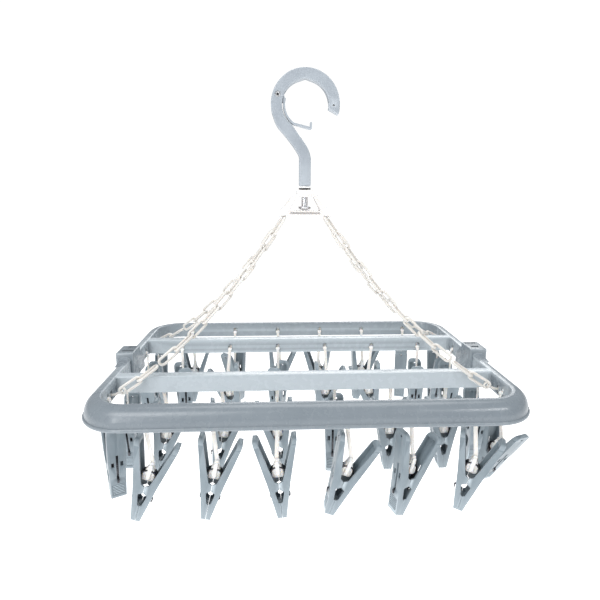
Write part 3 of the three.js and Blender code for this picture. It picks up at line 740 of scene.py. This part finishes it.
def make_frame():
    for end, side in (("front", -1), ("rear", 1)):
        body = f"{end}_half"
        rail = mesh_of("rail", [rail_shape(side, 6 if side < 0 else 8.6)])
        tools = [*peg_slots(side, INNER_Y), *side_holes(side)]
        rail = carved(rail, tools)
        if side > 0:
            for sx in (-1, 1):
                rail = carved(rail, [cylinder("x", RAIL_END_R, *span(sx, (180, 210)), (0, PIVOT_Z), 72)])
        piece(f"rail_{end}", rail, FRAME_BLUE, body, [f"frame_{end}"])
        channel, *collars = bar_shape(side)
        bar = carved(mesh_of("bar", [channel]), peg_slots(side, BAR_INNER))
        piece(f"crossbar_{end}", bar, FRAME_BLUE, body)
        piece(f"collars_{end}", rounded(mesh_of("collars", collars), 0.35), FRAME_BLUE,
              body)
        rims = [*slot_rims(side, INNER_Y), *slot_rims(side, BAR_INNER)]
        piece(f"slot_rims_{end}", mesh_of("rims", rims), FRAME_BLUE, body)
    for hand, sx in (("left", -1), ("right", 1)):
        make_hinge(hand, sx)


# ---- Pegs ----------------------------------------------------------------------------------
# A peg is drawn round its pivot, open arms up, its V in the X-Z plane.


def outer_edge(z):
    if z > 0:
        return 10.5 + 9 * z / 42
    if z > -14:
        return 10.5 + 2.5 * z / 14
    return 8 + 4 * (z + 14) / 22


def jaw_mesh():
    """The right jaw: a channel open towards the V, with a slot, two windows, a grip pad and a hole."""
    outline = [
        (0.15, -36), (2.2, -35.6), (4, -36), (8, -14), (10.5, 0), (19.4, 39.8), (19.3, 41.2), (18.2, 42),
        (16.6, 42), (15.4, 41), (7.3, 13), (3.6, 1), (0.15, -1), (0.15, -7), (4.1, -9.6), (1.9, -20),
        (0.15, -21),
    ]
    width = JAW_HALF_WIDTH
    body = mesh_of("jaw", [prism(outline, -width, width)])
    face = [
        (-width * 0.86, -37), (width * 0.86, -37), (width * 0.9, -14), (width, 8), (width, 35),
        *arc(width - 6.4, 35.9, 6.4, 0, 90, 8), *arc(-width + 6.4, 35.9, 6.4, 90, 180, 8), (-width, 35),
        (-width, 8), (-width * 0.9, -14),
    ]
    body = carved(body, [prism(face, -1, 21, "x")], "INTERSECT")
    hollow = [
        (-1, -23), (outer_edge(-23) - 1.7, -23), (outer_edge(-14) - 1.7, -14), (outer_edge(0) - 1.7, 0),
        (outer_edge(37) - 1.7, 37), (-1, 37),
    ]
    body = carved(body, [prism(hollow, -6.2, 6.2)])
    tools = [block(4, 20, -1.1, 1.1, -15, 11)]
    tools += [block(4, 20, y - 1.3, y + 1.3, -1.5, 3.5) for y in (-4, 4)]
    slant = math.atan2(4, 22)
    pad = Matrix.Translation((outer_edge(-27), 0, -27)) @ Matrix.Rotation(slant, 4, "Y")
    tools.append(moved(block(-0.45, 2, -5.6, 5.6, -5.6, 5.6), pad))
    body = carved(body, tools)
    across = Matrix.Translation((17.5, 0, 36.5)) @ Matrix.Rotation(math.radians(90), 4, "Y")
    body = carved(body, [moved(cylinder("z", 1.3, -6, 6, (0, 0), 20), across)])
    body = rounded(body, 0.4, 2, 45)
    return body, pad


def ribs(pad, count=6):
    """Fine gripping ribs across the pad."""
    step = 11 / count
    levels = [-5.5 + step * (i + 0.5) for i in range(count)]
    return [moved(tube([(-0.3, -5.2, z), (-0.3, 5.2, z)], 0.42, 8), pad) for z in levels]


def joined(meshes_at):
    """One mesh from several (mesh, matrix) pairs."""
    work = bmesh.new()
    for mesh, matrix in meshes_at:
        copy = mesh.copy()
        copy.transform(matrix)
        work.from_mesh(copy)
    result = bpy.data.meshes.new("joined")
    work.to_mesh(result)
    work.free()
    return result


def bow_mesh():
    """The bow spring: a flat steel strip over the pivot, its bent ends hooked through the jaws' slots."""
    right = [
        (0, 12.6), (2.6, 12.1), (5.2, 10.4), (7.2, 6.4), (8, 1), (7.4, -5), (6.2, -11), (5.9, -13.4),
        (7.4, -14.6), (8.7, -15.2), (8.9, -16.8), (8.3, -18.6),
    ]
    line = [*[(-x, z) for x, z in reversed(right[1:])], *right]
    path = curve(line, 3)
    rings = []
    for i, (x, z) in enumerate(path):
        before, after = Vector(path[max(i - 1, 0)]), Vector(path[min(i + 1, len(path) - 1)])
        along = (after - before).normalized()
        normal = Vector((-along.y, along.x)) * 0.5
        half = 3.4 if z > -12 else 0.9
        ring = [(x + s * normal.x, y, z + s * normal.y) for s, y in
                ((1, -half), (1, half), (0, half + 0.12), (-1, half), (-1, -half), (0, -half - 0.12))]
        rings.append(ring)
    return mesh_of("bow", [loft(rings)])


def bell_mesh():
    """The strap's lower end: a bell that the bow passes through, with a web across its front and back."""
    outline = [
        (-4.6, 3.0), (-3.4, 2.4), (3.4, 2.4), (4.6, 3.0), (5.4, 4.6), (5.2, 8.5), (3.8, 13), (2.1, 17),
        (1.9, 20), (-1.9, 20), (-2.1, 17), (-3.8, 13), (-5.2, 8.5), (-5.4, 4.6),
    ]
    body = rounded(mesh_of("bell", [prism(outline, -3.1, 3.1)]), 0.7, 3, 35)
    over = curve([(-8.6, 1), (-7.7, 6.8), (-5.7, 11.1), (-2.9, 12.9), (0, 13.4), (2.9, 12.9), (5.7, 11.1),
                  (7.7, 6.8), (8.6, 1)], 3)
    under = curve([(7.3, 1), (6.6, 6), (4.7, 9.6), (2.3, 11.3), (0, 11.8), (-2.3, 11.3), (-4.7, 9.6),
                   (-6.6, 6), (-7.3, 1)], 3)
    body = carved(body, [prism([*over, *under], -5, 5)])
    web = [(-1.5, 4), (1.5, 4), (1.9, 6), (1.8, 17), (1.5, 18.4), (-1.5, 18.4), (-1.8, 17), (-1.9, 6)]
    webs = rounded(mesh_of("web", [prism(web, -4.4, -2.9), prism(web, 2.9, 4.4)]), 0.5, 2, 35)
    return joined([(body, Matrix.Identity(4)), (webs, Matrix.Identity(4))])


def strap_shape(clip, turn):
    """The flexible strap from behind its hole, out over the wall's lower part and down to the bell."""
    end = clip @ Vector((0, 0, BELL_TOP))
    reach = STRAP_RISE - end.z

    def slack(z):
        return end.x * (STRAP_RISE - z) / reach

    line = [
        (slack(0), 3.2, -0.6), (slack(0), 0.9, -0.8), (slack(-2), -1.2, -1.9), (slack(-4), -1.7, -4.4),
        (slack(-7), -1.6, -7.2), (slack(-STRAP_ELBOW), -1.4, -STRAP_ELBOW),
    ]
    bend = Vector(line[-1])
    line += [tuple(bend.lerp(end, t)) for t in (0.25, 0.5, 0.75, 1)]
    path = curve(line, 5)
    rings = []
    for i, point in enumerate(path):
        t = i / (len(path) - 1)
        before, after = Vector(path[max(i - 1, 0)]), Vector(path[min(i + 1, len(path) - 1)])
        along = (after - before).normalized()
        ease = max(0.0, (t - 0.35) / 0.65)
        angle = math.radians(turn) * ease * ease * (3 - 2 * ease)
        across = Vector((math.cos(angle), math.sin(angle), 0))
        across = (across - along * across.dot(along)).normalized()
        over = along.cross(across)
        knob = math.exp(-(((t - 0.17) / 0.09) ** 2))
        wide = 1.75 + 0.75 * knob + 0.25 * ease
        thick = 0.75 + 0.75 * knob
        ring = [tuple(Vector(point) + wide * math.copysign(abs(math.cos(a)) ** 0.5, math.cos(a)) * across
                      + thick * math.copysign(abs(math.sin(a)) ** 0.8, math.sin(a)) * over)
                for a in [math.pi * k / 8 for k in range(16)]]
        rings.append(ring)
    head = moved(lathe([(0, -0.8), (3, -0.8), (3.6, -0.3), (3.6, 0.3), (3, 0.8), (0, 0.8)], sides=24),
                 Matrix.Translation((slack(0), 3.4, -0.6)) @ Matrix.Rotation(math.radians(90), 4, "X"))
    return [loft(rings), head]


def make_pegs():
    jaw, pad = jaw_mesh()
    grip = mesh_of("grip", ribs(pad))
    flip = Matrix.Rotation(math.pi, 4, "Z")
    still = Matrix.Identity(4)
    right = joined([(jaw, still), (grip, still)])
    left = joined([(right, flip)])
    both = joined([(right, still), (left, still)])
    bow = bow_mesh()
    bell = bell_mesh()

    def add(name, x, y, heading, lean, turn, half):
        body = f"peg_{name}"
        hang = Matrix.Translation((x, y, HOLE_Z)) @ Matrix.Rotation(math.radians(heading), 4, "Z")
        lean_sign = -1 if heading == 180 else 1
        clip = (Matrix.Translation((0, -PEG_OFFSET, -PEG_DROP))
                @ Matrix.Rotation(math.radians(turn), 4, "Z")
                @ Matrix.Rotation(math.radians(lean_sign * lean), 4, "Y"))
        place = hang @ clip
        metric = place.copy()
        metric.translation *= MM
        if name in DETAILED:
            near, far = (left, right) if heading != 180 else (right, left)
            for hand, mesh in (("left", near), ("right", far)):
                piece(f"clip_jaw_{hand}_{name}", mesh.copy(), PEG_BLUE,
                      f"jaw_{hand}_{name}", [f"jaw_{hand}_{name}"], metric)
            stands_for_bow, stands_for_strap = [f"spring_{name}"], [f"strap_{name}"]
        else:
            piece(f"clip_{name}", both, PEG_BLUE, body, [f"peg_{name}"], metric)
            stands_for_bow, stands_for_strap = [], []
        piece(f"bow_{name}", bow, SPRING_STEEL, body, stands_for_bow, metric)
        strap = mesh_of("strap", strap_shape(clip, turn))
        to_row = hang.copy()
        to_row.translation *= MM
        strap = joined([(strap, to_row), (bell, metric)])
        along_wall = heading in (0, 180)
        thing = piece(f"hanger_{name}", strap, MILKY, None if along_wall else body,
                      stands_for_strap)
        if along_wall:
            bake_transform(thing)

    for row, (y, heading, leans, turns) in ROWS.items():
        half = "front_half" if y < 0 else "rear_half"
        for i, x in enumerate(COLUMNS):
            add(f"{row}_{i + 1}", x, y, heading, leans[i], turns[i], half)
    for hand, (sx, leans, turns) in SIDES.items():
        for i, y in enumerate(SIDE_Y):
            half = "front_half" if y < 0 else "rear_half"
            add(f"{hand}_{i + 1}", sx * INNER_X, y, -90 * sx, leans[i], turns[i], half)


# ---- Studio --------------------------------------------------------------------------------


def make_floor():
    material, nodes, links = new_material("floor_pale")
    shader = nodes["Principled BSDF"]
    mottle = noise_of(nodes, links, 3, 3)
    tone = ramp_of(nodes, links, mottle, [(0.3, (0.93, 0.93, 0.93)), (0.7, (0.96, 0.96, 0.96))])
    links.new(tone, shader.inputs["Base Color"])
    shader.inputs["Roughness"].default_value = 0.7
    shader.inputs["Emission Color"].default_value = (1, 1, 1, 1)
    shader.inputs["Emission Strength"].default_value = 0.75
    size, height = 9, -0.78
    mesh = bpy.data.meshes.new("floor")
    mesh.from_pydata([(-size, -size, height), (size, -size, height), (size, size, height),
                      (-size, size, height)], [], [(0, 1, 2, 3)])
    mesh.materials.append(material)
    floor = bpy.data.objects.new("floor", mesh)
    bpy.context.scene.collection.objects.link(floor)


def make_light(name, place, target, width, height, watts):
    data = bpy.data.lights.new(name, "AREA")
    data.shape = "RECTANGLE"
    data.size, data.size_y = width, height
    data.energy = watts
    lamp = bpy.data.objects.new(name, data)
    lamp.location = place
    lamp.rotation_euler = (Vector(target) - Vector(place)).to_track_quat("-Z", "Y").to_euler()
    bpy.context.scene.collection.objects.link(lamp)


def make_studio():
    make_floor()
    centre = (0, 0, -0.26)
    make_light("key", (-0.9, -1.3, 1.2), centre, 1.1, 0.9, 19)
    make_light("top", (0.2, 0.3, 1.6), centre, 1.5, 1.2, 20)
    make_light("rim", (0.3, 1.5, 0.5), centre, 1.4, 0.5, 9)
    make_light("corner_left", (-0.75, -1.2, 0.05), (-0.19, -0.13, -0.29), 0.1, 0.5, 4)
    make_light("corner_right", (0.9, -1.0, 0.5), (0.19, -0.13, -0.29), 0.5, 0.12, 4)
    world = bpy.data.worlds.new("studio")
    world.use_nodes = True
    nodes, links = world.node_tree.nodes, world.node_tree.links
    soft = nodes["Background"]
    soft.inputs["Color"].default_value = (0.96, 0.98, 1, 1)
    soft.inputs["Strength"].default_value = 0.36
    seen = nodes.new("ShaderNodeBackground")
    seen.inputs["Color"].default_value = (1, 1, 1, 1)
    seen.inputs["Strength"].default_value = 1.05
    rays = nodes.new("ShaderNodeLightPath")
    mix = nodes.new("ShaderNodeMixShader")
    links.new(rays.outputs["Is Camera Ray"], mix.inputs["Fac"])
    links.new(soft.outputs["Background"], mix.inputs[1])
    links.new(seen.outputs["Background"], mix.inputs[2])
    links.new(mix.outputs["Shader"], nodes["World Output"].inputs["Surface"])
    bpy.context.scene.world = world
    bpy.context.scene.view_settings.view_transform = "Standard"


def make_camera():
    """The photograph's viewpoint: a little above the frame and left of its middle."""
    yaw, pitch, roll = -0.04964, 0.22097, 0.00432
    right = Vector((math.cos(yaw), math.sin(yaw), 0))
    ahead = Vector((-math.sin(yaw) * math.cos(pitch), math.cos(yaw) * math.cos(pitch), -math.sin(pitch)))
    up = right.cross(ahead)
    tilted = math.cos(roll) * right + math.sin(roll) * up
    upright = math.cos(roll) * up - math.sin(roll) * right
    data = bpy.data.cameras.new("camera")
    data.sensor_width = 36
    data.lens = 28.2
    camera = bpy.data.objects.new("camera", data)
    axes = Matrix((tilted, upright, -ahead)).transposed().to_4x4()
    camera.matrix_world = Matrix.Translation((-0.0292, -0.49964, -0.11136)) @ axes
    bpy.context.scene.collection.objects.link(camera)
    bpy.context.scene.camera = camera


make_camera()
make_studio()
make_hook()
make_swivel()
make_hub()
make_chains()
make_frame()
make_pegs()
